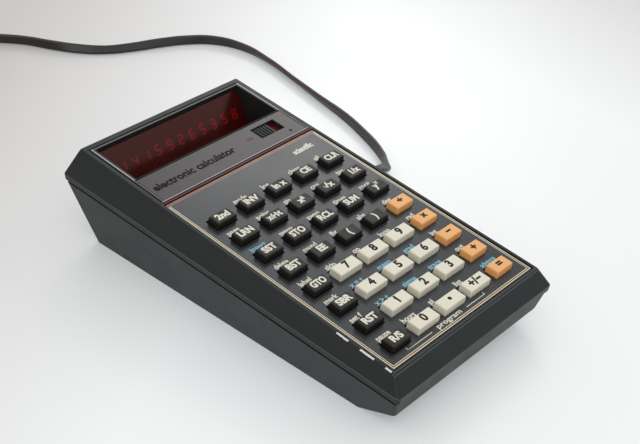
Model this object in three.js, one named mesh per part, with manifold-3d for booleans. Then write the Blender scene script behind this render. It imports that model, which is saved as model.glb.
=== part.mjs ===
// Pocket calculator with a sloping keyboard, a recessed red display window, a slide-out
// battery tray and a low-voltage charger lead.
// Frame: millimetres, X to the right of the keyboard, Y towards the display end, Z up.
// The origin is on the resting surface under the middle of the case.

import * as THREE from 'three';
import { mergeVertices } from 'three/addons/utils/BufferGeometryUtils.js';
import Module from 'manifold-3d';

const wasm = await Module();
wasm.setup();

// ---------------------------------------------------------------- driving dimensions

const GAP = 0.3; // clearance between touching pieces

// Case halves. The seam and the deck (the top face) are two planes that rise to the back.
const CASE_WIDTH = 80;
const CASE_LENGTH = 148;
const WALL = 1.8;
const CORNER_RADIUS = 1.2;
const SEAM_HEIGHT = 18.15; // over the origin
const SEAM_SLOPE = 0.0574; // rise for each mm towards the back
const SEAM_BAND = 2.2; // upright band above the seam
const SEAM_GROOVE = 0.8; // shadow gap between the halves
const DECK_HEIGHT = 29.0; // over the origin
const DECK_TILT = THREE.MathUtils.degToRad(5.86);
const RIM_INSET_SIDE = 2.3; // how far the rim stands in from the widest line
const RIM_INSET_BACK = 5.9;
const RIM_INSET_FRONT = 3.9;
const RIM_CHAMFER = 0.6;
const DECK_THICKNESS = 2.6;

// Lower case
const LOWER_TOP_INSET = 0.5;
const LOWER_BOTTOM_INSET = 4.2;
const LOWER_BACK_RAKE = 11.6; // the back face leans in by this much at the bottom
const LOWER_FRONT_RAKE = 16.3;
const LOWER_FRONT_KNEE = 2.7; // inset of the knee above the front chamfer
const TONGUE_HEIGHT = 2.0;
const TONGUE_THICKNESS = 1.2;

// Keyboard
const COLUMNS = 5;
const ROWS = 8;
const PLATE_LIP = 1.7; // case lip beside the plate
const PLATE_BACK = 28.2; // back edge of the plate along the deck
const PLATE_THICKNESS = 0.8;
const PLATE_DEPTH = 0.3; // plate face below the lip
const PLATE_LEDGE = 2.9; // width of the ledge that carries the plate
const KEY_WIDTH = 8.4;
const WIDE_KEY_WIDTH = 10.4;
const KEY_DEPTH = 5.0;
const KEY_DRAFT = 0.12; // each side, from the plate to the top
const KEY_CHAMFER = 0.28;
const KEY_TOP = 2.0; // above the deck plane
const KEY_CLEARANCE = 0.35; // between a key and its hole
const KEY_FLANGE = 0.9; // how far the flange reaches past the key
const KEY_FLANGE_THICKNESS = 1.1;
const KEY_STEM = 2.4;
const KEY_STEM_LENGTH = 0.6;
const KEY_TRAVEL = 1.2;
const KEY_SIDE_MARGIN = 4.0; // plate edge to the outer wide-key column
const KEY_BACK_MARGIN = 14.55; // plate edge to the back row's key
const KEY_FRONT_MARGIN = 4.45;

// Layers under the keys
const DOME_HEIGHT = 0.25;
const DOME_RADIUS = 2.6;
const DOME_SHEET_THICKNESS = 0.3;
const DOME_SHEET_MARGIN = 1.6; // inside the ribs
const BOARD_THICKNESS = 1.6;
const BOARD_SPACING = 2.3; // between the keyboard board and the main board
const MAIN_BOARD_FRONT_MARGIN = 6; // inside the plate's front edge
const MAIN_BOARD_SIDE_MARGIN = 2.6; // inside the keyboard board's edge
const HEADER_SIZE = [48, 2.5]; // pin header between the boards
const CHIP_SIZE = [36, 14, 3.6];
const RIB_THICKNESS = 1.4;
const POST_SIZE = 4;
const POST_MARGIN = 8; // from the ends of the main board

// Display end
const FRAME_FRONT = 29.4; // front edge of the display frame along Y
const FRAME_BACK_LIP = 2.9; // case lip behind the frame
const FRAME_SIDE_LIP = 2.5;
const FRAME_PROUD = 0.15;
const FRAME_RING = 1.0; // bright ring behind the window
const FRAME_CHEEK = 1.4;
const FRAME_SHELF = 1.45; // thickness of the shelf under the name strip
const WINDOW_THICKNESS = 1.2;
const WINDOW_DEPTH = 15.2; // deck plane to the foot of the window
const WINDOW_SLOPE_RUN = 8.8; // how far the foot stands in front of the head
const STRIP_LENGTH = 13.3; // along the deck
const STRIP_THICKNESS = 0.6;
const STRIP_MARGIN = 0.7;
const SWITCH_CENTRE = [22.7, 38.0]; // on the deck
const SWITCH_OPENING = [11.6, 6.2];
const SWITCH_SLIDER_LENGTH = 7.8;
const SWITCH_POCKET_DEPTH = 2.4;
const LED_BAR = [62, 6, 2.2];
const LED_BOARD = [66, 9, 1];
const LED_STANDOFF = 0.6;

// Battery
const CELL_DIAMETER = 14.2;
const CELL_LENGTH = 50;
const CELL_COUNT = 3;
const TRAY_WALL = 1.2;
const TRAY_FLOOR = 1.6;
const TRAY_END_ROOM = 1.3; // beside each end of the cells
const TRAY_LATCH_ROOM = 4.6; // behind the divider
const DIVIDER_HEIGHT = 0.7; // share of the tray's height
const FINGER_NOTCH = [14, 0.8];
const CONTACT_ROOM = 4.8; // pocket for the contacts in front of the tray
const CONTACT_BLOCK_WIDTH = 34;
const CONTACT_LEAF = [5, 6];
const CONTACT_LEAF_SPACING = 24;

// Charger jack, plug and lead
const JACK_Y = 17.5;
const JACK_Z = 8;
const JACK_RADIUS = 4.0;
const JACK_LENGTH = 7.2;
const JACK_PROUD = 0.8; // the jack's face stands this far out of the case
const JACK_BORE = 1.9;
const JACK_BORE_DEPTH = 6;
const PLUG_RADIUS = 3.8;
const PLUG_BODY = 13;
const PLUG_RELIEF = 9;
const CORD_WIDTH = 4.2;
const CORD_THICKNESS = 2.1;
const CORD_REST = 2.15; // height of the middle of the lead on the table
const COIL_CENTRE = new THREE.Vector2(-13.8, 211.9);
const COIL_RADIUS = 24; // middle of the turns
const COIL_TURNS_ACROSS = 3;
const COIL_TURNS_HIGH = 3;
const ADAPTER_SIZE = [54, 44, 34];
const ADAPTER_ANGLE = THREE.MathUtils.degToRad(232.6); // turn of the adapter on the table
const ADAPTER_BOSS_LENGTH = 15;
const ADAPTER_BOSS_RADIUS = 4;
const ADAPTER_CHAMFER = 3;
const ADAPTER_TAIL = 17; // from the coil to the tip of the adapter's strain relief
const PRONG = [16, 1.5, 6.3];
const PRONG_SPACING = 12.7;

// ---------------------------------------------------------------- shape helpers

const deckMatrix = new THREE.Matrix4()
  .makeTranslation(0, 0, DECK_HEIGHT)
  .multiply(new THREE.Matrix4().makeRotationX(DECK_TILT));

const deckAt = (y) => DECK_HEIGHT + Math.tan(DECK_TILT) * y;
const seamAt = (y) => SEAM_HEIGHT + SEAM_SLOPE * y;

/** A closed geometry as a solid that can be joined and cut. */
function solid(geometry) {
  const source = geometry.clone();
  source.deleteAttribute('normal');
  source.deleteAttribute('uv');
  const merged = mergeVertices(source, 1e-5);
  return new wasm.Manifold(new wasm.Mesh({
    numProp: 3,
    vertProperties: new Float32Array(merged.attributes.position.array),
    triVerts: new Uint32Array(merged.index.array),
  }));
}

/** A solid's surface as a geometry. */
function surface(body) {
  const { vertProperties, triVerts } = body.getMesh();
  const geometry = new THREE.BufferGeometry();
  geometry.setAttribute('position', new THREE.BufferAttribute(new Float32Array(vertProperties), 3));
  geometry.setIndex(new THREE.BufferAttribute(new Uint32Array(triVerts), 1));
  geometry.computeVertexNormals();
  return geometry;
}

/** A box between two corners. */
function box([x0, y0, z0], [x1, y1, z1], matrix) {
  const geometry = new THREE.BoxGeometry(x1 - x0, y1 - y0, z1 - z0);
  geometry.translate((x0 + x1) / 2, (y0 + y1) / 2, (z0 + z1) / 2);
  if (matrix) geometry.applyMatrix4(matrix);
  return solid(geometry);
}

/** A rounded rectangle of points, counter-clockwise from above, on the surface z = height(y). */
function ring({ halfWidth, front, back, radius = 0, height, corner = 4 }) {
  const points = [];
  const centres = [[1, back, 0], [-1, back, 1], [-1, front, 2], [1, front, 3]];
  for (const [side, end, quarter] of centres) {
    const inward = end === back ? -radius : radius;
    const steps = radius > 0 ? corner : 0;
    for (let i = 0; i <= steps; i += 1) {
      const angle = (quarter + (steps ? i / steps : 0.5)) * Math.PI / 2;
      const x = side * (halfWidth - radius) + radius * Math.cos(angle);
      const y = end + inward + radius * Math.sin(angle);
      points.push(new THREE.Vector3(x, y, height(y)));
    }
  }
  return points;
}

/** A closed solid through rings of equal point count, from the lowest ring to the highest. */
function loftGeometry(rings) {
  const count = rings[0].length;
  const index = [];
  for (let k = 0; k < rings.length - 1; k += 1) {
    for (let i = 0; i < count; i += 1) {
      const a = k * count + i;
      const b = k * count + (i + 1) % count;
      index.push(a, b, b + count, a, b + count, a + count);
    }
  }
  const top = (rings.length - 1) * count;
  for (let i = 1; i < count - 1; i += 1) {
    index.push(0, i + 1, i);
    index.push(top, top + i, top + i + 1);
  }
  const geometry = new THREE.BufferGeometry().setFromPoints(rings.flat());
  geometry.setIndex(index);
  return geometry;
}

const loft = (rings) => solid(loftGeometry(rings));

/** An outline of [y, z] points, extruded from x0 to x1. */
function alongX(outline, x0, x1) {
  const shape = new THREE.Shape(outline.map(([y, z]) => new THREE.Vector2(y, z)));
  const geometry = new THREE.ExtrudeGeometry(shape, { depth: x1 - x0, bevelEnabled: false });
  const toYZ = new THREE.Matrix4().makeBasis(
    new THREE.Vector3(0, 1, 0), new THREE.Vector3(0, 0, 1), new THREE.Vector3(1, 0, 0));
  geometry.applyMatrix4(toYZ);
  geometry.translate(x0, 0, 0);
  return solid(geometry);
}

/** A turned piece: [radius, distance] points about the X axis. */
function turnedAlongX(profile, segments) {
  const geometry = new THREE.LatheGeometry(
    profile.map(([radius, distance]) => new THREE.Vector2(radius, distance)), segments);
  geometry.rotateZ(-Math.PI / 2);
  return geometry;
}

const plastic = (color, roughness = 0.45) =>
  new THREE.MeshStandardMaterial({ color, roughness, metalness: 0 });
const metal = (color, roughness = 0.3) =>
  new THREE.MeshStandardMaterial({ color, roughness, metalness: 1 });

const materials = {
  case: plastic(0x33383a),
  lowerCase: plastic(0x3a3e3c, 0.55),
  plate: plastic(0x4d5356, 0.35),
  blackKey: plastic(0x1d1e1c, 0.5),
  creamKey: plastic(0xdcd7c6, 0.4),
  orangeKey: plastic(0xe2a86a, 0.4),
  frame: metal(0xa9adae),
  strip: plastic(0x6a5f5f, 0.4),
  window: plastic(0x4a1210, 0.1),
  slider: plastic(0x2c3432, 0.5),
  board: plastic(0x2f5b38, 0.5),
  domes: metal(0xb9bcbd, 0.35),
  chip: plastic(0x1c1c1e, 0.5),
  led: plastic(0x7a1412, 0.2),
  tray: plastic(0x303432, 0.55),
  cells: plastic(0x2f6f9e, 0.4),
  contacts: metal(0xc4b27a, 0.35),
  cord: plastic(0x23261f, 0.5),
  adapter: plastic(0x222423, 0.5),
};

const calculator = new THREE.Group();
const deck = new THREE.Group();
deck.position.z = DECK_HEIGHT;
deck.rotation.x = DECK_TILT;
calculator.add(deck);

function add(name, geometry, material, parent = calculator) {
  const mesh = new THREE.Mesh(geometry, material);
  mesh.name = name;
  parent.add(mesh);
  return mesh;
}

// ---------------------------------------------------------------- upper case

const halfWidth = CASE_WIDTH / 2;
const halfLength = CASE_LENGTH / 2;
const rimHalfWidth = halfWidth - RIM_INSET_SIDE;
const rimBack = halfLength - RIM_INSET_BACK;
const rimFront = -halfLength + RIM_INSET_FRONT;
const seamBandAt = (y) => seamAt(y) + SEAM_BAND;

/** One ring of the upper case, moved inwards by inset. */
function upperRing(level, inset, height) {
  const rim = level === 'rim';
  return ring({
    halfWidth: (rim ? rimHalfWidth : halfWidth) - inset,
    front: (rim ? rimFront : -halfLength) + inset,
    back: (rim ? rimBack : halfLength) - inset,
    radius: Math.max(CORNER_RADIUS - inset, 0.6),
    height,
  });
}

const plateHalfWidth = rimHalfWidth - RIM_CHAMFER - PLATE_LIP + GAP;
const plateFront = (rimFront + RIM_CHAMFER) / Math.cos(DECK_TILT) + PLATE_LIP - GAP;
const plateBottom = -PLATE_DEPTH - PLATE_THICKNESS;
const plateLedge = plateBottom - GAP;
const frameHalfWidth = rimHalfWidth - FRAME_SIDE_LIP;
const frameBack = rimBack - FRAME_BACK_LIP;

const flangeTop = plateBottom - 0.4;
const flangeBottom = flangeTop - KEY_FLANGE_THICKNESS;
const stemBottom = flangeBottom - KEY_STEM_LENGTH;
const domeTop = stemBottom - KEY_TRAVEL - GAP;
const domeSheetTop = domeTop - DOME_HEIGHT;
const keyboardBoardTop = domeSheetTop - DOME_SHEET_THICKNESS - GAP;
const keyboardBoardBottom = keyboardBoardTop - BOARD_THICKNESS;
const ribInner = plateHalfWidth - PLATE_LEDGE + 0.5;
const ribOuter = ribInner + RIB_THICKNESS;
const boardHalfWidth = ribOuter + 0.1;

function upperCase() {
  const below = (y) => seamAt(y) - 1;
  const rimUnder = (y) => deckAt(y) - RIM_CHAMFER;
  const outer = loft([
    upperRing('seam', GAP, seamAt),
    upperRing('seam', 0, seamBandAt),
    upperRing('rim', 0, rimUnder),
    upperRing('rim', RIM_CHAMFER, deckAt),
  ]);
  const inner = loft([
    upperRing('seam', WALL + GAP, below),
    upperRing('seam', WALL + GAP, seamAt),
    upperRing('seam', WALL, seamBandAt),
    upperRing('rim', WALL, (y) => deckAt(y) - DECK_THICKNESS),
  ]);
  const plateRecess = box(
    [-plateHalfWidth - GAP, plateFront - GAP, plateLedge],
    [plateHalfWidth + GAP, PLATE_BACK + GAP, 5], deckMatrix);
  const keyOpening = box(
    [-plateHalfWidth + PLATE_LEDGE, plateFront + PLATE_LEDGE, -5],
    [plateHalfWidth - PLATE_LEDGE, PLATE_BACK - PLATE_LEDGE, 5], deckMatrix);
  const frameOpening = box(
    [-frameHalfWidth - GAP, FRAME_FRONT - GAP, deckAt(0) - 10],
    [frameHalfWidth + GAP, frameBack + GAP, deckAt(frameBack) + 5]);
  let body = outer.subtract(inner).subtract(plateRecess).subtract(keyOpening).subtract(frameOpening);
  // Two ribs clamp the keyboard board along its sides.
  for (const side of [-1, 1]) {
    const low = Math.min(side * ribInner, side * ribOuter);
    const high = Math.max(side * ribInner, side * ribOuter);
    body = body.add(box(
      [low, plateFront + PLATE_LEDGE, keyboardBoardTop + GAP],
      [high, PLATE_BACK - PLATE_LEDGE, -DECK_THICKNESS + 0.4], deckMatrix));
  }
  return surface(body);
}

add('upper_case', upperCase(), materials.case);

// ---------------------------------------------------------------- lower case

const lowerTopAt = (y) => seamAt(y) - SEAM_GROOVE;
const trayHeight = TRAY_FLOOR + GAP + CELL_DIAMETER + GAP;
const trayHalfWidth = CELL_LENGTH / 2 + GAP + TRAY_END_ROOM + TRAY_WALL;

// The cells lie in a row from the divider at the back to the tray's front wall.
const cellPitch = CELL_DIAMETER + 0.1;
const cellsBack = halfLength - LOWER_BACK_RAKE - TRAY_LATCH_ROOM - TRAY_WALL - GAP;
const cellsFront = cellsBack - (CELL_COUNT - 1) * cellPitch - CELL_DIAMETER;
const cellAxis = TRAY_FLOOR + GAP + CELL_DIAMETER / 2;
const trayFront = cellsFront - GAP - TRAY_WALL;
const contactFront = trayFront - CONTACT_ROOM;
const jackFace = halfWidth - LOWER_TOP_INSET + JACK_PROUD
  - (1 - JACK_Z / lowerTopAt(JACK_Y)) * (LOWER_BOTTOM_INSET - LOWER_TOP_INSET);

/** The outside of the lower case moved inwards by inset, its bottom raised by the same. */
function lowerBody(inset, rise = 0) {
  const level = (share, bottomFront) => ring({
    halfWidth: halfWidth - LOWER_TOP_INSET - inset
      - (1 - share) * (LOWER_BOTTOM_INSET - LOWER_TOP_INSET),
    front: -halfLength + bottomFront + inset,
    back: halfLength - 1 - inset - (1 - share) * (LOWER_BACK_RAKE - 1),
    radius: Math.max(CORNER_RADIUS - inset, 0.6),
    height: (y) => share * lowerTopAt(y) + (share === 0 ? inset : 0) + (share === 1 ? rise : 0),
  });
  return loft([level(0, LOWER_FRONT_RAKE), level(0.5, LOWER_FRONT_KNEE), level(1, 1)]);
}

const mainBoardTop = keyboardBoardBottom - BOARD_SPACING;
const mainBoardBottom = mainBoardTop - BOARD_THICKNESS;
const mainBoardFront = plateFront + MAIN_BOARD_FRONT_MARGIN;
const mainBoardBack = trayFront - 2 * CONTACT_ROOM;
const mainBoardHalfWidth = boardHalfWidth - MAIN_BOARD_SIDE_MARGIN;

function lowerCase() {
  const tongueRing = (inset, height) => upperRing('seam', WALL + 2 * GAP + inset, height);
  const tongue = loft([
    tongueRing(0, (y) => seamAt(y) - 3), tongueRing(0, (y) => seamAt(y) + TONGUE_HEIGHT),
  ]).subtract(loft([
    tongueRing(TONGUE_THICKNESS, (y) => seamAt(y) - 4),
    tongueRing(TONGUE_THICKNESS, (y) => seamAt(y) + TONGUE_HEIGHT + 1),
  ]));
  let body = lowerBody(0).subtract(lowerBody(WALL, 2)).add(tongue);
  const bayHalfWidth = trayHalfWidth + GAP;
  // Guide rails beside the battery bay, then the bay itself through the floor and the back.
  const rails = box(
    [-bayHalfWidth - TRAY_WALL, contactFront - TRAY_WALL, WALL - 0.5],
    [bayHalfWidth + TRAY_WALL, halfLength - LOWER_BACK_RAKE, trayHeight]);
  const bay = box(
    [-bayHalfWidth, trayFront - GAP, -5],
    [bayHalfWidth, halfLength + 10, trayHeight + GAP]);
  const pit = box(
    [-bayHalfWidth, contactFront, WALL],
    [bayHalfWidth, trayFront, trayHeight + GAP]);
  body = body.add(rails).subtract(bay).subtract(pit);
  // Four posts carry the main board.
  const aboveBoard = box([-60, -100, mainBoardBottom - GAP], [60, 100, 40], deckMatrix);
  const postX = mainBoardHalfWidth - POST_SIZE;
  const half = POST_SIZE / 2;
  for (const x of [-postX, postX]) {
    for (const y of [mainBoardFront + POST_MARGIN, mainBoardBack - POST_MARGIN]) {
      const post = box([x - half, y - half, WALL - 0.5], [x + half, y + half, DECK_HEIGHT]);
      body = body.add(post.subtract(aboveBoard));
    }
  }
  const jackHole = new THREE.CylinderGeometry(
    JACK_RADIUS + GAP, JACK_RADIUS + GAP, 2 * JACK_LENGTH, 16);
  jackHole.rotateZ(Math.PI / 2);
  jackHole.translate(jackFace, JACK_Y, JACK_Z);
  return surface(body.subtract(solid(jackHole)));
}

add('lower_case', lowerCase(), materials.lowerCase);

// ---------------------------------------------------------------- keyboard

const plateHalfClear = plateHalfWidth - KEY_SIDE_MARGIN;
const columnPitch = (2 * plateHalfClear - WIDE_KEY_WIDTH) / (COLUMNS - 1);
const backRow = PLATE_BACK - KEY_BACK_MARGIN - KEY_DEPTH / 2;
const frontRow = plateFront + KEY_FRONT_MARGIN + KEY_DEPTH / 2;
const rowPitch = (backRow - frontRow) / (ROWS - 1);

/** Every key: its place on the deck, its width and its colour. */
const keys = [];
for (let row = 0; row < ROWS; row += 1) {
  for (let column = 0; column < COLUMNS; column += 1) {
    const numeral = row >= 4 && column >= 1 && column <= 3;
    const operator = row >= 3 && column === COLUMNS - 1;
    keys.push({
      name: `key_r${row + 1}c${column + 1}`,
      x: (column - (COLUMNS - 1) / 2) * columnPitch,
      y: backRow - row * rowPitch,
      width: numeral ? WIDE_KEY_WIDTH : KEY_WIDTH,
      material: numeral ? materials.creamKey : operator ? materials.orangeKey : materials.blackKey,
    });
  }
}

function keyboardPlate() {
  let body = box(
    [-plateHalfWidth, plateFront, plateBottom],
    [plateHalfWidth, PLATE_BACK, -PLATE_DEPTH]);
  for (const key of keys) {
    const w = key.width / 2 + KEY_CLEARANCE;
    const d = KEY_DEPTH / 2 + KEY_CLEARANCE;
    body = body.subtract(box(
      [key.x - w, key.y - d, plateBottom - 1], [key.x + w, key.y + d, 1]));
  }
  return surface(body);
}

/** A key cap with its flange and stem, about its own centre on the deck plane. */
function keyCap(width) {
  const level = (w, d, z) => ring({
    halfWidth: w / 2, front: -d / 2, back: d / 2, height: () => z,
  });
  const shrunk = (by, z) => level(width - 2 * by, KEY_DEPTH - 2 * by, z);
  return loftGeometry([
    level(KEY_STEM, KEY_STEM, stemBottom),
    level(KEY_STEM, KEY_STEM, flangeBottom),
    shrunk(-KEY_FLANGE, flangeBottom),
    shrunk(-KEY_FLANGE, flangeTop),
    shrunk(0, flangeTop),
    shrunk(KEY_DRAFT, KEY_TOP - KEY_CHAMFER),
    shrunk(KEY_DRAFT + KEY_CHAMFER, KEY_TOP),
  ]);
}

function domeSheet() {
  const sheetHalfWidth = ribInner - DOME_SHEET_MARGIN;
  let body = box(
    [-sheetHalfWidth, plateFront + PLATE_LEDGE, domeSheetTop - DOME_SHEET_THICKNESS],
    [sheetHalfWidth, PLATE_BACK - PLATE_LEDGE, domeSheetTop]);
  for (const key of keys) {
    const dome = new THREE.CylinderGeometry(DOME_RADIUS * 0.6, DOME_RADIUS, DOME_HEIGHT + 0.1, 6);
    dome.rotateX(Math.PI / 2);
    dome.translate(key.x, key.y, domeSheetTop + (DOME_HEIGHT - 0.1) / 2);
    body = body.add(solid(dome));
  }
  return surface(body);
}

add('keyboard_plate', keyboardPlate(), materials.plate, deck);
for (const key of keys) {
  const cap = add(key.name, keyCap(key.width), key.material, deck);
  cap.position.set(key.x, key.y, 0);
}
add('dome_sheet', domeSheet(), materials.domes, deck);
add('keyboard_board', surface(box(
  [-boardHalfWidth, plateFront + 1, keyboardBoardBottom],
  [boardHalfWidth, PLATE_BACK - 0.8, keyboardBoardTop])), materials.board, deck);

// ---------------------------------------------------------------- main board

function mainBoard() {
  const board = box(
    [-mainBoardHalfWidth, mainBoardFront, mainBoardBottom],
    [mainBoardHalfWidth, mainBoardBack, mainBoardTop]);
  // The header that joins the two boards stands along the back edge.
  const [headerWidth, headerDepth] = HEADER_SIZE;
  const header = box(
    [-headerWidth / 2, mainBoardBack - 1.5 - headerDepth, mainBoardTop - 0.2],
    [headerWidth / 2, mainBoardBack - 1.5, keyboardBoardBottom - GAP]);
  return surface(board.add(header));
}

add('main_board', mainBoard(), materials.board, deck);
const [chipLength, chipWidth, chipHeight] = CHIP_SIZE;
const chip = add('processor_chip',
  new THREE.BoxGeometry(chipLength, chipWidth, chipHeight), materials.chip, deck);
chip.position.set(
  0, (mainBoardFront + mainBoardBack) / 2, mainBoardBottom - GAP - chipHeight / 2);

// ---------------------------------------------------------------- display end

// Section of the display end in the Y-Z plane, from the head of the window to the strip.
const windowHead = new THREE.Vector2(
  frameBack - FRAME_RING, deckAt(frameBack - FRAME_RING) - FRAME_SHELF - GAP);
const windowFoot = new THREE.Vector2(
  windowHead.x - WINDOW_SLOPE_RUN, deckAt(windowHead.x) - WINDOW_DEPTH);
const windowLine = windowHead.clone().sub(windowFoot).normalize();
const windowBack = new THREE.Vector2(windowLine.y, -windowLine.x); // behind the window
const stripFront = FRAME_FRONT + STRIP_MARGIN;
const stripBack = stripFront + STRIP_LENGTH;
const behindWindow = (point, distance) => point.clone().addScaledVector(windowBack, distance);

function displayFrame() {
  const head = behindWindow(windowHead, -GAP);
  const foot = behindWindow(windowFoot, -GAP);
  const outside = alongX([
    [frameBack, deckAt(frameBack) + FRAME_PROUD],
    [frameBack, deckAt(frameBack) - FRAME_SHELF],
    [head.x, head.y],
    [foot.x, foot.y],
    [foot.x - 1.4, foot.y - 1.2],
    [stripBack - 0.6, deckAt(stripBack) - FRAME_SHELF - 0.6],
    [FRAME_FRONT, deckAt(FRAME_FRONT) - FRAME_SHELF],
    [FRAME_FRONT, deckAt(FRAME_FRONT) + FRAME_PROUD],
  ], -frameHalfWidth, frameHalfWidth);
  const well = alongX([
    [windowHead.x, deckAt(windowHead.x) + 5],
    [windowHead.x, windowHead.y],
    [windowFoot.x, windowFoot.y],
    [stripBack + 0.4, deckAt(stripBack) - 0.4],
    [stripBack + 0.4, deckAt(stripBack) + 5],
  ], -frameHalfWidth + FRAME_CHEEK, frameHalfWidth - FRAME_CHEEK);
  const stripHalfWidth = frameHalfWidth - STRIP_MARGIN;
  const stripSeat = box(
    [-stripHalfWidth - GAP, stripFront - GAP, -STRIP_THICKNESS - GAP + 0.05],
    [stripHalfWidth + GAP, stripBack + 1, 3], deckMatrix);
  const [cx, cy] = SWITCH_CENTRE;
  const [openX, openY] = SWITCH_OPENING;
  const housing = box(
    [cx - openX / 2 - 1.4, cy - openY / 2 - 1.2, -SWITCH_POCKET_DEPTH - 1],
    [cx + openX / 2 + 1.4, cy + openY / 2 + 1.2, -1], deckMatrix);
  const pocket = box(
    [cx - openX / 2, cy - openY / 2, -SWITCH_POCKET_DEPTH],
    [cx + openX / 2, cy + openY / 2, 3], deckMatrix);
  return surface(outside.add(housing).subtract(well).subtract(stripSeat).subtract(pocket));
}

function nameStrip() {
  const stripHalfWidth = frameHalfWidth - STRIP_MARGIN;
  const strip = box(
    [-stripHalfWidth, stripFront, -STRIP_THICKNESS + 0.05], [stripHalfWidth, stripBack, 0.05]);
  const [cx, cy] = SWITCH_CENTRE;
  const [openX, openY] = SWITCH_OPENING;
  return surface(strip.subtract(box(
    [cx - openX / 2, cy - openY / 2, -3], [cx + openX / 2, cy + openY / 2, 3])));
}

/** A slider with five finger ridges across its back. */
function switchSlider() {
  const [, openY] = SWITCH_OPENING;
  const halfDepth = openY / 2 - GAP;
  const ridgePitch = SWITCH_SLIDER_LENGTH / 6;
  let body = box(
    [0, -halfDepth, -SWITCH_POCKET_DEPTH + GAP], [SWITCH_SLIDER_LENGTH, halfDepth, -0.55]);
  for (let i = 0; i < 5; i += 1) {
    const x = ridgePitch * (i + 0.8);
    body = body.add(box(
      [x, -halfDepth + 0.4, -0.8], [x + ridgePitch * 0.45, halfDepth - 0.4, 0]));
  }
  return surface(body);
}

function displayWindow() {
  const headBack = behindWindow(windowHead, WINDOW_THICKNESS);
  const footBack = behindWindow(windowFoot, WINDOW_THICKNESS);
  const width = frameHalfWidth - 0.4;
  return surface(alongX([
    [windowHead.x, windowHead.y], [windowFoot.x, windowFoot.y],
    [footBack.x, footBack.y], [headBack.x, headBack.y],
  ], -width, width));
}

/** The row of light-emitting digits: a lens bar on its own board, square to the window. */
function ledDisplay() {
  const bar = new THREE.BoxGeometry(...LED_BAR);
  bar.translate(0, 0, -LED_BAR[2] / 2);
  const board = new THREE.BoxGeometry(...LED_BOARD);
  board.translate(0, 0, -LED_BAR[2] - LED_BOARD[2] / 2 + 0.1);
  return surface(solid(bar).add(solid(board)));
}

add('display_frame', displayFrame(), materials.frame);
add('display_window', displayWindow(), materials.window);
add('name_strip', nameStrip(), materials.strip, deck);
const slider = add('switch_slider', switchSlider(), materials.slider, deck);
slider.position.set(SWITCH_CENTRE[0] - SWITCH_OPENING[0] / 2 + GAP, SWITCH_CENTRE[1], 0);
const led = add('led_display', ledDisplay(), materials.led);
const ledCentre = behindWindow(
  windowHead.clone().lerp(windowFoot, 0.5), WINDOW_THICKNESS + LED_STANDOFF);
led.position.set(0, ledCentre.x, ledCentre.y);
led.rotation.x = Math.atan2(windowLine.y, windowLine.x);

// ---------------------------------------------------------------- battery

function batteryTray() {
  const block = box(
    [-trayHalfWidth, trayFront, 0], [trayHalfWidth, halfLength + 1, trayHeight]);
  const hollow = box(
    [-trayHalfWidth + TRAY_WALL, trayFront + TRAY_WALL, TRAY_FLOOR],
    [trayHalfWidth - TRAY_WALL, halfLength + 1, trayHeight + 1]);
  const divider = box(
    [-trayHalfWidth + 0.5, cellsBack + GAP, 0.5],
    [trayHalfWidth - 0.5, cellsBack + GAP + TRAY_WALL, trayHeight * DIVIDER_HEIGHT]);
  const [notchWidth, notchHeight] = FINGER_NOTCH;
  const fingerNotch = box(
    [-notchWidth / 2, halfLength - LOWER_BACK_RAKE - 2, -1],
    [notchWidth / 2, halfLength, notchHeight]);
  const tray = block.intersect(lowerBody(0));
  return surface(
    tray.subtract(hollow.intersect(lowerBody(TRAY_WALL))).add(divider).subtract(fingerNotch));
}

/** The cells lie side by side across the case in one shrink sleeve. */
function batteryCells() {
  const radius = CELL_DIAMETER / 2;
  const outline = [];
  const sides = 12;
  for (let cell = 0; cell < CELL_COUNT; cell += 1) {
    for (let i = 0; i <= sides / 2; i += 1) {
      const share = i / (sides / 2);
      const from = cell === 0 ? Math.PI : Math.PI * 0.62;
      const to = cell === CELL_COUNT - 1 ? 0 : Math.PI * 0.38;
      const angle = from + (to - from) * share;
      outline.push([cell * cellPitch + radius * Math.cos(angle), radius * Math.sin(angle)]);
    }
  }
  const lower = outline.slice(1, -1).reverse().map(([y, z]) => [y, -z]);
  const points = [...outline, ...lower].map(([y, z]) => [cellsFront + radius + y, cellAxis + z]);
  return surface(alongX(points, -CELL_LENGTH / 2, CELL_LENGTH / 2));
}

/** A moulded block with two leaf springs that press on the battery pack. */
function contactBlock() {
  const front = contactFront + GAP;
  const [leafWidth, leafHeight] = CONTACT_LEAF;
  let body = box(
    [-CONTACT_BLOCK_WIDTH / 2, front, WALL + GAP],
    [CONTACT_BLOCK_WIDTH / 2, front + CONTACT_ROOM / 2, trayHeight - 1]);
  for (const side of [-1, 1]) {
    const x = side * CONTACT_LEAF_SPACING / 2;
    body = body.add(box(
      [x - leafWidth / 2, front + 1, cellAxis - leafHeight / 2],
      [x + leafWidth / 2, trayFront - 2 * GAP, cellAxis + leafHeight / 2]));
  }
  return surface(body);
}

add('battery_tray', batteryTray(), materials.tray);
add('battery_cells', batteryCells(), materials.cells);
add('contact_block', contactBlock(), materials.contacts);

// ---------------------------------------------------------------- charger jack, plug and lead

function dcJack() {
  const back = jackFace - JACK_LENGTH;
  const geometry = turnedAlongX([
    [0, back], [JACK_RADIUS, back], [JACK_RADIUS, jackFace], [JACK_BORE, jackFace],
    [JACK_BORE, jackFace - JACK_BORE_DEPTH], [0, jackFace - JACK_BORE_DEPTH],
  ], 16);
  geometry.translate(0, JACK_Y, JACK_Z);
  return surface(solid(geometry));
}

const plugFace = jackFace + GAP;
const plugEnd = plugFace + PLUG_BODY + PLUG_RELIEF;

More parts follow.
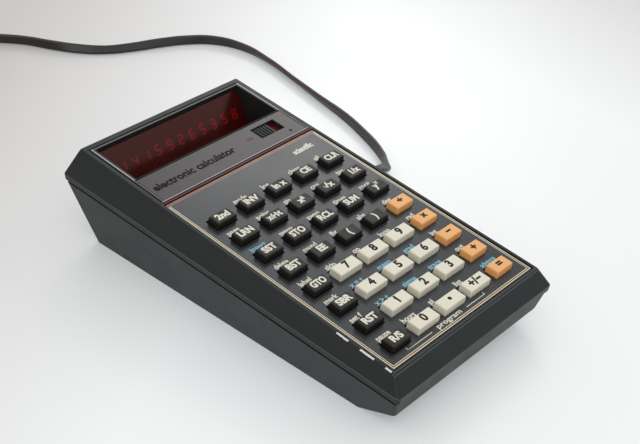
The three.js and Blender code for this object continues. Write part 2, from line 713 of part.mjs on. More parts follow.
function dcPlug() {
  const pin = JACK_BORE - GAP;
  const geometry = turnedAlongX([
    [0, plugFace - JACK_BORE_DEPTH + 2 * GAP], [pin, plugFace - JACK_BORE_DEPTH + 2 * GAP],
    [pin, plugFace], [PLUG_RADIUS, plugFace], [PLUG_RADIUS, plugFace + PLUG_BODY],
    [CORD_WIDTH / 2 + 0.5, plugEnd], [0, plugEnd],
  ], 16);
  geometry.translate(0, JACK_Y, JACK_Z);
  return surface(solid(geometry));
}

add('dc_jack', dcJack(), materials.chip);
add('dc_plug', dcPlug(), materials.cord);

// The lead's route, from the plug across the table to the coil.
const cordRoute = [
  [plugEnd + GAP, JACK_Y, JACK_Z],
  [64.6, 17.7, 7.4],
  [69.8, 18.9, 5.4],
  [74.8, 22.0, 3.6],
  [79.4, 27.4, CORD_REST],
  [83.6, 34.8, CORD_REST],
  [87.6, 44.4, CORD_REST],
  [91.9, 56.5, CORD_REST],
  [96.3, 75.0, CORD_REST],
  [101.0, 94.0, CORD_REST],
  [105.2, 113.0, CORD_REST],
  [105.6, 129.5, CORD_REST],
  [100.4, 142.4, CORD_REST],
  [91.6, 150.4, CORD_REST],
  [81.0, 156.2, CORD_REST],
  [70.0, 161.2, CORD_REST],
  [59.8, 167.2, CORD_REST],
  [51.4, 175.0, CORD_REST],
  [44.8, 184.8, CORD_REST],
  [38.6, 196.4, CORD_REST],
  [30.8, 206.0, CORD_REST],
  [24.2, 212.9, CORD_REST],
  [18.0, 219.4, CORD_REST],
].map((point) => new THREE.Vector3(...point));

/** The flat two-core lead along its route. */
function cordTube() {
  const a = CORD_WIDTH / 2;
  const b = CORD_THICKNESS / 2;
  const bite = b * 0.55;
  const section = new THREE.Shape([
    [a - bite, b], [a, b - bite], [a, bite - b], [a - bite, -b],
    [bite - a, -b], [-a, bite - b], [-a, b - bite], [bite - a, b],
  ].map(([x, y]) => new THREE.Vector2(x, y)));
  const path = new THREE.CatmullRomCurve3(cordRoute);
  return new THREE.ExtrudeGeometry(section, { steps: 44, extrudePath: path, bevelEnabled: false });
}

/** The spare length wound in one neat coil. */
function cordCoil() {
  const across = COIL_TURNS_ACROSS * CORD_WIDTH;
  const high = COIL_TURNS_HIGH * CORD_WIDTH;
  const outer = COIL_RADIUS + across / 2;
  const inner = COIL_RADIUS - across / 2;
  const geometry = new THREE.LatheGeometry([
    [inner, 0.1], [outer, 0.1], [outer, high], [inner, high], [inner, 0.1],
  ].map(([x, y]) => new THREE.Vector2(x, y)), 32);
  geometry.rotateX(Math.PI / 2);
  geometry.translate(COIL_CENTRE.x, COIL_CENTRE.y, 0);
  return surface(solid(geometry));
}

/** The wall adapter, built along its own X with the lead coming out of its back. */
function adapterBlock() {
  const [length, width, height] = ADAPTER_SIZE;
  const low = ADAPTER_CHAMFER / 2;
  const rings = [
    [low, 0], [0, low], [0, height - ADAPTER_CHAMFER], [ADAPTER_CHAMFER, height],
  ].map(([inset, z]) => ring({
    halfWidth: length / 2 - inset, front: -width / 2 + inset, back: width / 2 - inset,
    radius: ADAPTER_CHAMFER, height: () => z, corner: 3,
  }));
  let body = loft(rings);
  const bossZ = CORD_WIDTH * (COIL_TURNS_HIGH - 0.5);
  const boss = new THREE.CylinderGeometry(
    ADAPTER_BOSS_RADIUS - 1, ADAPTER_BOSS_RADIUS, ADAPTER_BOSS_LENGTH + 1, 12);
  boss.rotateZ(Math.PI / 2);
  boss.translate(-length / 2 - ADAPTER_BOSS_LENGTH / 2 + 0.5, 0, bossZ);
  body = body.add(solid(boss));
  for (const side of [-1, 1]) {
    const y = side * PRONG_SPACING / 2;
    body = body.add(box(
      [length / 2 - 1, y - PRONG[1] / 2, height / 2 - PRONG[2] / 2],
      [length / 2 + PRONG[0], y + PRONG[1] / 2, height / 2 + PRONG[2] / 2]));
  }
  return surface(body);
}

add('cord', cordTube(), materials.cord);
add('cord_coil', cordCoil(), materials.cord);
const adapter = add('adapter', adapterBlock(), materials.adapter);
const tail = new THREE.Vector2(Math.cos(ADAPTER_ANGLE), Math.sin(ADAPTER_ANGLE));
const outward = new THREE.Vector2(tail.y, -tail.x); // from the coil away from the lead
const outerTurn = COIL_RADIUS + CORD_WIDTH * (COIL_TURNS_ACROSS - 1) / 2;
const reach = ADAPTER_TAIL + ADAPTER_BOSS_LENGTH + ADAPTER_SIZE[0] / 2;
adapter.position.set(
  COIL_CENTRE.x + outward.x * outerTurn + tail.x * reach,
  COIL_CENTRE.y + outward.y * outerTurn + tail.y * reach, 0);
adapter.rotation.z = ADAPTER_ANGLE;

export default calculator;
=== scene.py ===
import math

import bmesh
import bpy
from mathutils import Matrix, Vector


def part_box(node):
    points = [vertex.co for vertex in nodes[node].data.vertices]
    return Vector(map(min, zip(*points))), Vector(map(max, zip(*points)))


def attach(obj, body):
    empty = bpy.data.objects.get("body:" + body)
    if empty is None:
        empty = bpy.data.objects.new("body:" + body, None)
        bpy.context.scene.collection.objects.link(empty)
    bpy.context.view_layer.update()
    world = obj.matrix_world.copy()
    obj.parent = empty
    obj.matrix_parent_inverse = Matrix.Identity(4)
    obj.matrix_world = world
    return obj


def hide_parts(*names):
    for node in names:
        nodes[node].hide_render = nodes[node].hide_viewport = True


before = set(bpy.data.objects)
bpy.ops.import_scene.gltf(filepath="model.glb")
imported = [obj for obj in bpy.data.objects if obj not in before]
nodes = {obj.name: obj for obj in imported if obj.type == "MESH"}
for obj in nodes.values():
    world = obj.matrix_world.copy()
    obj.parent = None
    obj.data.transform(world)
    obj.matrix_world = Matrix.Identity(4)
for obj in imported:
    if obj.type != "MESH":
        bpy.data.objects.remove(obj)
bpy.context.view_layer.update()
MM = 0.001  # the sections below give sizes in millimetres

# ---------------------------------------------------------------- camera
# A long lens looks down over the front left corner, a little rolled. The image is
# 640 by 444, and its sides are crossed by the lead at the back left.
view_aim = Vector((13.0, 2.8, 15.0)) * MM
view_heading = math.radians(51.13)  # from +Y towards +X
view_pitch = math.radians(34.29)
view_roll = math.radians(4.465)
view_distance = 452.4 * MM

camera = bpy.data.objects.new("camera", bpy.data.cameras.new("camera"))
camera.data.lens = 74.2
camera.data.sensor_width = 36.0
camera.data.clip_start = 0.01
turn = (Matrix.Rotation(-view_heading, 4, "Z")
        @ Matrix.Rotation(math.pi / 2 - view_pitch, 4, "X")
        @ Matrix.Rotation(view_roll, 4, "Z"))
camera.matrix_world = Matrix.Translation(view_aim) @ turn @ Matrix.Translation((0, 0, view_distance))
bpy.context.scene.collection.objects.link(camera)
bpy.context.scene.camera = camera
bpy.context.scene.view_settings.view_transform = "Standard"


# ---------------------------------------------------------------- charger lead
# Flat two-core vinyl lead, one core dark green-black and one with a red-brown tracer. It
# twists as it leaves the plug, lies on the table and is wound in a coil of nine turns,
# held by a tie, with its end in the wall adapter.
class Field:
    """A value that changes over a surface; sums on it add Math nodes to its finish."""

    def __init__(self, finish, socket):
        self.finish = finish
        self.socket = socket

    def math(self, operation, *others):
        return self.finish.node("Math", {"operation": operation}, dict(enumerate((self, *others))))

    def __add__(self, other):
        return self.math("ADD", other)

    def __sub__(self, other):
        return self.math("SUBTRACT", other)

    def __rsub__(self, other):
        return self.finish.node("Math", {"operation": "SUBTRACT"}, {0: other, 1: self})

    def __mul__(self, other):
        return self.math("MULTIPLY", other)

    __radd__ = __add__
    __rmul__ = __mul__

    def near(self, centre, reach):
        """1 where the value is within reach of centre, else 0."""
        return self.math("COMPARE", centre, reach)

    def above(self, edge, soft):
        """Rises from 0 to 1 as the value passes edge, over soft to each side."""
        return self.finish.node(
            "MapRange", {"interpolation_type": "SMOOTHSTEP"},
            {"Value": self, "From Min": edge - soft, "From Max": edge + soft})


class Finish:
    """A material on one principled shader, with its constants set on the shader itself."""

    def __init__(self, name, colour, roughness, **constants):
        self.material = bpy.data.materials.new(name)
        self.material.use_nodes = True
        self.tree = self.material.node_tree
        self.shader = self.tree.nodes["Principled BSDF"]
        self.colour = colour
        self.shader.inputs["Base Color"].default_value = (*colour, 1)
        self.shader.inputs["Roughness"].default_value = roughness
        for socket, value in constants.items():
            self.shader.inputs[socket.replace("_", " ")].default_value = value

    def node(self, kind, settings=None, values=None, output=0):
        node = self.tree.nodes.new("ShaderNode" + kind)
        for setting, value in (settings or {}).items():
            setattr(node, setting, value)
        for socket, value in (values or {}).items():
            self.feed(node.inputs[socket], value)
        return Field(self, node.outputs[output])

    def feed(self, target, value):
        if isinstance(value, Field):
            self.tree.links.new(value.socket, target)
        elif isinstance(value, tuple) and len(value) == 3 and target.type == "RGBA":
            target.default_value = (*value, 1)
        else:
            target.default_value = value

    def put(self, **values):
        for socket, value in values.items():
            self.feed(self.shader.inputs[socket.replace("_", " ")], value)
        return self

    def mix(self, share, first, second):
        """From the first colour to the second as share goes from 0 to 1."""
        return self.node("Mix", {"data_type": "RGBA"}, {0: share, 6: first, 7: second}, output=2)

    def place(self, tilt=0.0, height=0.0):
        """Millimetres along X, Y and Z, or on a plane tilted about X at a height over the origin."""
        position = self.node("TexCoord", output=3)
        turned = self.node("Mapping", {}, {
            "Vector": position, "Scale": (1 / MM,) * 3, "Rotation": (-tilt, 0, 0),
            "Location": (0, -height * math.sin(tilt), -height * math.cos(tilt))})
        parts = self.tree.nodes.new("ShaderNodeSeparateXYZ")
        self.feed(parts.inputs[0], turned)
        return [Field(self, parts.outputs[axis]) for axis in "XYZ"]

    def noise(self, size, detail=2.0, stretch=(1, 1, 1)):
        """Soft noise from 0 to 1 with features of a size in millimetres."""
        position = self.node("TexCoord", output=3)
        scaled = self.node("Mapping", {}, {
            "Vector": position, "Scale": tuple(s / (size * MM) for s in stretch)})
        return self.node("TexNoise", {}, {"Vector": scaled, "Scale": 1.0, "Detail": detail})

    def rough(self, low, high, size=4.0):
        """Roughness that drifts between two values."""
        return self.put(Roughness=self.noise(size, 3.0) * (2 * (high - low)) + (1.5 * low - 0.5 * high))

    def relief(self, height, depth):
        """Bumps of a depth in millimetres where height goes from 0 to 1."""
        bump = self.node("Bump", {}, {"Height": height, "Distance": depth * MM, "Strength": 1.0})
        return self.put(Normal=bump)


def paint(red, green, blue):
    """A colour given as it looks on a screen, 0 to 255."""
    return tuple(((c / 255 + 0.055) / 1.055) ** 2.4 if c > 10 else c / 3295 for c in (red, green, blue))


def piece(name, mesh, finishes, body="case", slot=None, replaces=()):
    """A finished mesh as an object on a body, with the CAD nodes it replaces hidden; slot is not used."""
    slot = slot or replaces[0]
    thing = bpy.data.objects.new(name, mesh)
    bpy.context.scene.collection.objects.link(thing)
    for finish in finishes:
        mesh.materials.append(finish.material)
    even = thing.modifiers.new("even_normals", "WEIGHTED_NORMAL")
    even.keep_sharp = True
    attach(thing, body)
    if replaces:
        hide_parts(*replaces)
    return thing


lead_width = 4.2
lead_thickness = 2.1
plug_low, plug_high = (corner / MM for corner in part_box("dc_plug"))
plug_axis = (plug_low + plug_high) / 2
lead_in_air = [  # place and twist in degrees, from the plug down to the table
    (plug_high.x + 0.3, plug_axis.y, plug_axis.z, 0),
    (64.6, 17.7, 7.4, 0), (69.8, 18.9, 5.4, 20), (74.8, 22.0, 3.6, 60),
]
lead_on_table = [  # place and twist
    (79.4, 27.4, 90), (83.6, 34.8, 100), (87.6, 44.4, 95), (91.9, 56.5, 85), (96.3, 75.0, 60),
    (101.0, 94.0, 45), (105.2, 113.0, 50), (105.6, 129.5, 70), (100.4, 142.4, 100),
    (91.6, 150.4, 110), (81.0, 156.2, 120), (70.0, 161.2, 140), (59.8, 167.2, 152),
    (51.4, 175.0, 130), (44.8, 184.8, 105), (38.6, 196.4, 90), (30.8, 206.0, 90),
    (24.2, 212.9, 90), (18.0, 219.4, 90),
]


def rest_height(twist):
    """Middle of the flat lead over the table when it lies turned by a twist in degrees."""
    rise = (lead_width - lead_thickness) / 2 * abs(math.sin(math.radians(twist)))
    return lead_thickness / 2 + rise + 0.14


lead_route = [point[:3] for point in lead_in_air]
lead_route += [(x, y, rest_height(twist)) for x, y, twist in lead_on_table]
lead_twist = [point[3] for point in lead_in_air] + [point[2] for point in lead_on_table]

# The coil: three turns across and three high, out and in by layers, each turn stepping to
# the next place in its last sixth, and the end passing over the top to the adapter.
coil_low, coil_high = (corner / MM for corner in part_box("cord_coil"))
coil_centre = (coil_low + coil_high) / 2
coil_radii = [coil_centre.x - coil_low.x - lead_width / 2 - lead_width * k for k in range(3)]
coil_base = lead_width / 2 + 0.45  # room for the tie under the lowest turns
entry_x, entry_y = 6.5, 231.4  # where the lead joins the coil
coil_start = math.atan2(entry_y - coil_centre.y, entry_x - coil_centre.x)
coil_exit = math.radians(142.6)
coil_stations = 18  # to a turn
layers = [coil_radii, coil_radii[::-1], coil_radii]
turns = [(radius, coil_base + lead_width * k) for k, layer in enumerate(layers) for radius in layer]
over_top = (coil_radii[2], turns[-1][1] + lead_width)


def eased(share):
    share = min(max(share, 0.0), 1.0)
    return share * share * (3 - 2 * share)


coil_route = []
for number, place in enumerate(turns):
    following = turns[number + 1] if number + 1 < len(turns) else over_top
    for station in range(coil_stations):
        share = eased((station / coil_stations - 5 / 6) * 6)
        radius, height = (a + (b - a) * share for a, b in zip(place, following))
        angle = coil_start + 2 * math.pi * station / coil_stations
        coil_route.append((coil_centre.x + radius * math.cos(angle),
                           coil_centre.y + radius * math.sin(angle), height))
crossing_stations = 7
for station in range(crossing_stations + 1):
    share = station / crossing_stations
    angle = coil_start + (coil_exit - coil_start) * share
    radius = over_top[0] + (coil_radii[0] - over_top[0]) * eased(share)
    coil_route.append((coil_centre.x + radius * math.cos(angle),
                       coil_centre.y + radius * math.sin(angle), over_top[1]))
coil_tail = Vector((-math.sin(coil_exit), math.cos(coil_exit), 0))
tail_length = 17.0
boss_height = lead_width * 2.5
tail_start = Vector(coil_route[-1])
for share in (0.35, 0.7, 1.0):
    point = tail_start + coil_tail * (tail_length * share)
    height = over_top[1] + (boss_height - over_top[1]) * eased(share)
    coil_route.append((point.x, point.y, height))

lead_points = lead_route + coil_route
lead_tilts = lead_twist + [90] * len(coil_route)


def lead_line(name, with_section):
    """The lead's centre line as a curve, with its flat section along it if asked."""
    curve = bpy.data.curves.new(name, "CURVE")
    curve.dimensions = "3D"
    curve.twist_mode = "Z_UP"
    curve.resolution_u = 4
    spline = curve.splines.new("BEZIER")
    spline.bezier_points.add(len(lead_points) - 1)
    for knot, point, tilt in zip(spline.bezier_points, lead_points, lead_tilts):
        knot.co = Vector(point) * MM
        knot.tilt = math.radians(tilt)
        knot.handle_left_type = knot.handle_right_type = "AUTO"
    if with_section:
        section = bpy.data.curves.new(name + "_section", "CURVE")
        outline = section.splines.new("POLY")
        half_gap = (lead_width - lead_thickness) / 2
        outline.points.add(15)
        for k, knot in enumerate(outline.points):
            angle = 2 * math.pi * (k + 0.5) / 16
            waist = 0.94 if k in (3, 4, 11, 12) else 1.0
            x = half_gap * (1 if math.cos(angle) > 0 else -1) + lead_thickness / 2 * math.cos(angle)
            y = lead_thickness / 2 * math.sin(angle) * waist
            knot.co = (x * MM, y * MM, 0, 1)
        outline.use_cyclic_u = True
        curve.bevel_mode = "OBJECT"
        curve.bevel_object = bpy.data.objects.new(name + "_section", section)
        curve.use_fill_caps = True
    line = bpy.data.objects.new(name, curve)
    bpy.context.scene.collection.objects.link(line)
    bpy.context.view_layer.update()
    mesh = bpy.data.meshes.new_from_object(line.evaluated_get(bpy.context.evaluated_depsgraph_get()))
    bpy.data.objects.remove(line)
    if with_section:
        bpy.data.objects.remove(bpy.data.objects[name + "_section"])
    return mesh


lead_centres = [vertex.co.copy() for vertex in lead_line("lead_line", False).vertices]
lead_mesh = lead_line("lead", True)
lead_mesh.shade_smooth()
lead_finish = Finish("lead_vinyl", paint(16, 20, 14), 0.38)
across = lead_finish.node("SeparateXYZ", {}, {0: lead_finish.node("TexCoord", output=2)}, output=1)
tracer = across.near(0.5, 0.11)
lead_finish.put(Base_Color=lead_finish.mix(tracer, paint(24, 27, 20), paint(56, 29, 20)))
lead_finish.rough(0.32, 0.45, 9.0)
lead = piece("charger_lead", lead_mesh, [lead_finish], replaces=("cord", "cord_coil"))

# The tie: a thin strap round the coil's section.
tie_finish = Finish("tie", paint(28, 28, 28), 0.5)
tie_finish.relief(tie_finish.noise(0.5), 0.03)


def block(form, size, place=(0, 0, 0)):
    """Adds a box of a size round a place, both in millimetres, and returns its corners."""
    corners = bmesh.ops.create_cube(form, size=1.0)["verts"]
    bmesh.ops.scale(form, verts=corners, vec=Vector(size) * MM)
    bmesh.ops.translate(form, verts=corners, vec=Vector(place) * MM)
    return corners


def rounded(form, edges, width, segments=2):
    """Rounds edges of a form to a width in millimetres."""
    bmesh.ops.bevel(form, geom=edges, offset=width * MM, offset_type="OFFSET", affect="EDGES",
                    segments=segments, profile=0.5, material=-1, clamp_overlap=True)


tie = bmesh.new()
tie_angle = math.radians(250)
tie_width, tie_thickness = 3.0, 0.4
tie_lift = 0.05  # over the table
tie_middle = (coil_radii[0] + coil_radii[2]) / 2
tie_across = coil_radii[0] - coil_radii[2] + lead_thickness + 1.0
tie_tall = over_top[1] - lead_width / 2 - tie_lift
block(tie, (tie_across, tie_width, tie_tall))
ends = [face for face in tie.faces if abs(face.normal.y) > 0.9]
bmesh.ops.delete(tie, geom=ends, context="FACES_ONLY")
bends = [edge for edge in tie.edges if abs((edge.verts[0].co - edge.verts[1].co).y) > MM]
rounded(tie, bends, 2.0, segments=5)
bmesh.ops.solidify(tie, geom=tie.faces[:], thickness=tie_thickness * MM)
tie_place = Vector((tie_middle, 0, tie_tall / 2 + tie_lift))
bmesh.ops.translate(tie, vec=tie_place * MM, verts=tie.verts)
bmesh.ops.rotate(tie, matrix=Matrix.Rotation(tie_angle, 3, "Z"), verts=tie.verts)
bmesh.ops.translate(tie, vec=(coil_centre.x * MM, coil_centre.y * MM, 0), verts=tie.verts)
bmesh.ops.recalc_face_normals(tie, faces=tie.faces)
tie_mesh = bpy.data.meshes.new("lead_tie")
tie.to_mesh(tie_mesh)
lead_tie = piece("lead_tie", tie_mesh, [tie_finish], slot="cord")


# ---------------------------------------------------------------- charger plug and adapter
# The plug is soft moulded rubber over a barrel pin, with ribs round its tapered relief.
# The adapter is a two-part moulded block with steel prongs.
def shaded(form, name, sharp=32.0):
    """A form as a mesh, smooth but for the edges that turn by more than an angle in degrees."""
    mesh = bpy.data.meshes.new(name)
    form.to_mesh(mesh)
    form.free()
    mesh.shade_smooth()
    mesh.set_sharp_from_angle(angle=math.radians(sharp))
    return mesh


def sharp_edges(form, sharp):
    """The edges of a form that turn by more than an angle in degrees."""
    return [edge for edge in form.edges if len(edge.link_faces) == 2
            and edge.calc_face_angle(0.0) > math.radians(sharp)]


def softened(node, width, segments=2):
    """A merged copy of a CAD node's mesh with its sharp edges rounded to a width in millimetres."""
    form = bmesh.new()
    form.from_mesh(nodes[node].data)
    bmesh.ops.remove_doubles(form, verts=form.verts, dist=0.002 * MM)
    bmesh.ops.dissolve_limit(form, angle_limit=math.radians(0.6), verts=form.verts, edges=form.edges)
    rounded(form, sharp_edges(form, 25.0), width, segments)
    return shaded(form, node + "_soft")


def turned(profile, steps=48):
    """A closed turned mesh about the X axis from (distance, radius) points in millimetres."""
    form = bmesh.new()
    previous = None
    for distance, radius in profile:
        vertex = form.verts.new((distance * MM, 0, radius * MM))
        if previous:
            form.edges.new((previous, vertex))
        previous = vertex
    bmesh.ops.spin(form, geom=form.verts[:] + form.edges[:], cent=(0, 0, 0), axis=(1, 0, 0),
                   angle=2 * math.pi, steps=steps, use_merge=True)
    bmesh.ops.remove_doubles(form, verts=form.verts, dist=0.0005 * MM)
    bmesh.ops.recalc_face_normals(form, faces=form.faces)
    return form


rubber = Finish("plug_rubber", paint(27, 28, 27), 0.55)
rubber.relief(rubber.noise(0.35), 0.02)
plug_pin_end, plug_tip = plug_low.x, plug_high.x
plug_radius = (plug_high.z - plug_low.z) / 2
plug_face = plug_tip - 22.0
relief_start = plug_face + 13.0
pin_radius = 1.5
groove_depth, groove_pitch = 0.4, 1.9
rib_depth, rib_pitch, rib_taper = 0.55, 1.6, 0.13
groove_floor = plug_radius - groove_depth
profile = [(plug_pin_end, 0), (plug_pin_end, pin_radius), (plug_face, pin_radius),
           (plug_face, groove_floor), (plug_face + groove_depth, plug_radius)]
for groove in range(5):  # finger grooves round the body
    start = plug_face + 2.2 + groove_pitch * groove
    profile += [(start, plug_radius), (start + 0.35, groove_floor), (start + 0.75, groove_floor),
                (start + 1.1, plug_radius)]
profile += [(relief_start - 0.5, plug_radius), (relief_start, plug_radius - 0.5)]
for rib in range(5):  # ribs of the tapered relief
    start = relief_start + 0.5 + rib_pitch * rib
    radius = 3.1 - rib_taper * rib
    profile += [(start, radius - rib_depth), (start + 0.15, radius), (start + 0.85, radius),
                (start + 1.0, radius - rib_depth)]
profile += [(plug_tip - 0.15, 2.4), (plug_tip, 2.2), (plug_tip, 0)]
plug_form = turned(profile)
bmesh.ops.translate(plug_form, vec=(0, plug_axis.y * MM, plug_axis.z * MM), verts=plug_form.verts)
plug = piece("charger_plug", shaded(plug_form, "charger_plug", 35.0), [rubber], replaces=("dc_plug",))

adapter_finish = Finish("adapter_plastic", paint(30, 31, 31), 0.5)
adapter_steel = Finish("prong_steel", paint(190, 188, 180), 0.25, Metallic=1.0)
adapter_finish.relief(adapter_finish.noise(0.5, 3.0), 0.04)
adapter_steel.rough(0.2, 0.35, 2.0)
adapter_turn = math.radians(232.6)
adapter_reach = 59.0  # from the coil's outer turn to the middle of the block
coil_rim = Vector((math.cos(coil_exit), math.sin(coil_exit), 0)) * coil_radii[0]
adapter_centre = Vector((*coil_centre.xy, 0)) + coil_rim + coil_tail * adapter_reach
adapter_size = Vector((54.0, 44.0, 34.0))
adapter_seam = 15.0  # height of the groove between the two halves
seam_width = 0.5
corner_width = 2.6
blade_size = Vector((17.0, 1.5, 6.3))
blade_place = Vector((34.5, 6.35, 17.0))
adapter_form = bmesh.new()
block(adapter_form, adapter_size, (0, 0, adapter_size.z / 2))
whole = adapter_form.verts[:] + adapter_form.edges[:] + adapter_form.faces[:]
bmesh.ops.bisect_plane(adapter_form, geom=whole, plane_co=(0, 0, adapter_seam * MM), plane_no=(0, 0, 1))
top_ring = [vertex for vertex in adapter_form.verts if vertex.co.z > adapter_size.z * 0.9 * MM]
bmesh.ops.scale(adapter_form, vec=(0.93, 0.92, 1), verts=top_ring)


def on_seam(part):
    """Whether an edge or a face lies on the adapter's seam."""
    return all(abs(vertex.co.z / MM - adapter_seam) < 1.2 * seam_width for vertex in part.verts)


for on, width, steps in ((False, corner_width, 4), (True, seam_width, 1)):
    rounded(adapter_form, [edge for edge in adapter_form.edges if on_seam(edge) == on], width, steps)
groove = [face for face in adapter_form.faces if on_seam(face)]
bmesh.ops.inset_region(adapter_form, faces=groove, thickness=0.05 * MM, depth=-seam_width * MM)
adapter_form.normal_update()
boss = turned([(-42.0, 0), (-42.0, 2.9), (-41.4, 3.0), (-28.5, 4.0), (-26.5, 4.0), (-26.5, 0)], 32)
bmesh.ops.translate(boss, vec=(0, 0, boss_height * MM), verts=boss.verts)
boss_mesh = bpy.data.meshes.new("boss")
boss.to_mesh(boss_mesh)
adapter_form.from_mesh(boss_mesh)
for side in (-1, 1):
    corners = block(adapter_form, blade_size, blade_place * Vector((1, side, 1)))
    for corner in corners:
        for face in corner.link_faces:
            face.material_index = 1
    rounded(adapter_form, list({edge for corner in corners for edge in corner.link_edges}), 0.4)
bmesh.ops.rotate(adapter_form, matrix=Matrix.Rotation(adapter_turn, 3, "Z"), verts=adapter_form.verts)
bmesh.ops.translate(adapter_form, vec=adapter_centre * MM, verts=adapter_form.verts)
adapter = piece("wall_adapter", shaded(adapter_form, "wall_adapter"),
                [adapter_finish, adapter_steel], replaces=("adapter",))

# ---------------------------------------------------------------- table and light
# A pale satin table top that glows a little, with painted shade darkening it towards its far
# left end and far right, a wide soft light in front, one at the right, and a small one behind that gives
# the plate its sheen.
table_finish = Finish("table_top", (0.62, 0.6, 0.58), 0.34, Emission_Strength=0.25)
x, y, z = table_finish.place()
from_left = x * math.cos(view_heading) - y * math.sin(view_heading)
towards_back = x * math.sin(view_heading) + y * math.cos(view_heading)
# Painted shade: the table's colour and glow fall off towards its far left end and its far right.
far_left = 1.2 + from_left * 0.0066 - towards_back * 0.0014
far_right = 2.0 - (from_left + towards_back) * 0.004
painted_light_level = far_left.math("MINIMUM", far_right)
table_finish.put(
    Base_Color=table_finish.mix(painted_light_level, (0.4, 0.36, 0.33), (0.63, 0.61, 0.58)),
    Emission_Color=table_finish.mix(painted_light_level, (0.55, 0.56, 0.56), (0.88, 0.96, 1.0)))
table_finish.rough(0.3, 0.4, 60.0)
table_form = bmesh.new()
bmesh.ops.create_grid(table_form, x_segments=1, y_segments=1, size=3.0)
table_mesh = bpy.data.meshes.new("table_top")
table_form.to_mesh(table_mesh)
table_mesh.materials.append(table_finish.material)
table = bpy.data.objects.new("table_top", table_mesh)
bpy.context.scene.collection.objects.link(table)

world = bpy.data.worlds.new("studio")
world.use_nodes = True
world.node_tree.nodes["Background"].inputs["Color"].default_value = (0.92, 0.95, 1.0, 1)
world.node_tree.nodes["Background"].inputs["Strength"].default_value = 0.92
bpy.context.scene.world = world


def soft_light(name, place, target, size, power, colour):
    lamp = bpy.data.lights.new(name, "AREA")
    lamp.shape = "RECTANGLE"
    lamp.size, lamp.size_y = size
    lamp.energy = power
    lamp.color = colour
    thing = bpy.data.objects.new(name, lamp)
    thing.location = place
    thing.rotation_euler = (Vector(target) - Vector(place)).to_track_quat("-Z", "Y").to_euler()
    bpy.context.scene.collection.objects.link(thing)


soft_light("sheen_light", (1.02, 0.74, 0.82), (0, 0, 0), (0.4, 0.4), 2.0, (1.0, 0.99, 0.97))
soft_light("front_light", (-0.75, -0.6, 1.2), (0, 0, 0), (1.6, 1.6), 6.0, (1.0, 0.98, 0.95))
soft_light("side_light", (1.4, -0.6, 1.1), (0.1, 0, 0), (0.8, 0.8), 1.5, (1.0, 0.98, 0.95))

# ---------------------------------------------------------------- lower case
# The lower half of the case: fine-textured dark plastic, moulded with the rails and posts
# that hold the battery tray and the main board.
lower_finish = Finish("lower_case_plastic", paint(42, 46, 45), 0.5, Specular_IOR_Level=0.35)
x, y, z = lower_finish.place()
spread = lower_finish.noise(14.0, 3.0)
sides = lower_finish.mix(spread, paint(35, 40, 40), paint(43, 48, 47))
front_end = y.above(-72.0, 1.0)  # the front end is darker and browner
lower_finish.put(Base_Color=lower_finish.mix(front_end, paint(33, 31, 24), sides))
lower_finish.rough(0.44, 0.56, 7.0)
lower_finish.relief(lower_finish.noise(0.28, 2.0), 0.018)
piece("lower_shell", softened("lower_case", 0.35), [lower_finish], replaces=("lower_case",))

# ---------------------------------------------------------------- upper case
# The upper half: satin dark plastic with a chamfered rim that has painted glints, as
# painted highlights, on worn places along its left edge.
deck_tilt = math.radians(5.86)
deck_height = 29.0  # over the origin
deck_turn = Matrix.Translation((0, 0, deck_height * MM)) @ Matrix.Rotation(deck_tilt, 4, "X")
deck_inverse = deck_turn.inverted()

rim_half, rim_front = 37.7, -70.4  # outer edge of the rim's chamfer on the deck
bezel_half = 35.2
chamfer = 0.6
worn_glint_places = [(-50.0, 2.3), (-59.6, 2.7), (-67.8, 1.2)]  # middle and reach along the left rim
upper_finish = Finish("upper_case_plastic", paint(23, 26, 25), 0.42, Specular_IOR_Level=0.3)
x, y, z = upper_finish.place(deck_tilt, deck_height)
spread = upper_finish.noise(16.0, 3.0)
body_colour = upper_finish.mix(spread, paint(16, 20, 18), paint(23, 27, 25))
edge_noise = upper_finish.noise(1.6, 2.0) * 0.25
rim_edge = (x + rim_half - chamfer / 2 + edge_noise).near(0.4, 0.26) * z.above(-chamfer - 0.1, 0.1)
# Painted highlight: near-white glints painted on the rim's chamfer edge at the worn places along the left
# rim.
worn_glints = sum((y + edge_noise).near(middle + 0.4, reach) for middle, reach in worn_glint_places) * rim_edge
# Painted highlights on edges that catch the light: both edges of the front chamfer and the
# moulded line where the sloping sides meet the upright band above the seam.
chamfer_lines = (y.near(rim_front + 0.1, 0.14) + y.near(rim_front + 0.95, 0.12)) * z.above(-0.9, 0.1)
front_lip = x.math("ABSOLUTE").math("LESS_THAN", rim_half) * chamfer_lines
_, along, up = upper_finish.place()
seam_slope = 0.0574
band_height = 20.3  # over the origin
band_line = (up - along * seam_slope).near(band_height, 0.17)
edge_highlights = front_lip.math("MAXIMUM", band_line)
gap_middle, gap_reach = 28.85, 0.6  # the dark red bar between the plate and the display frame
gap_bar = y.near(gap_middle, gap_reach) * x.math("ABSOLUTE").math("LESS_THAN", bezel_half + 0.3)
barred = upper_finish.mix(gap_bar, body_colour, paint(70, 22, 14))
# Painted highlight: the edge lines are painted a lighter grey.
highlit_colour = upper_finish.mix(edge_highlights, barred, paint(64, 68, 66))
upper_finish.put(Base_Color=upper_finish.mix(worn_glints, highlit_colour, paint(206, 206, 200)))
upper_finish.rough(0.34, 0.46, 8.0)
upper_finish.relief(upper_finish.noise(0.22, 2.0), 0.01)
piece("upper_shell", softened("upper_case", 0.3), [upper_finish], replaces=("upper_case",))

# ---------------------------------------------------------------- keyboard plate
# A thin punched plate in satin black, printed with a double gold border, the bracket
# under the last row and the keys' second functions.
plate_front, plate_back = -68.46, 28.2  # along the deck
plate_half = 35.7
plate_face = -0.3
plate_thickness = 0.8
key_depth = 5.0
key_top = 2.0  # over the deck
key_clearance = 0.35
key_rows, key_columns = range(1, 9), range(1, 6)


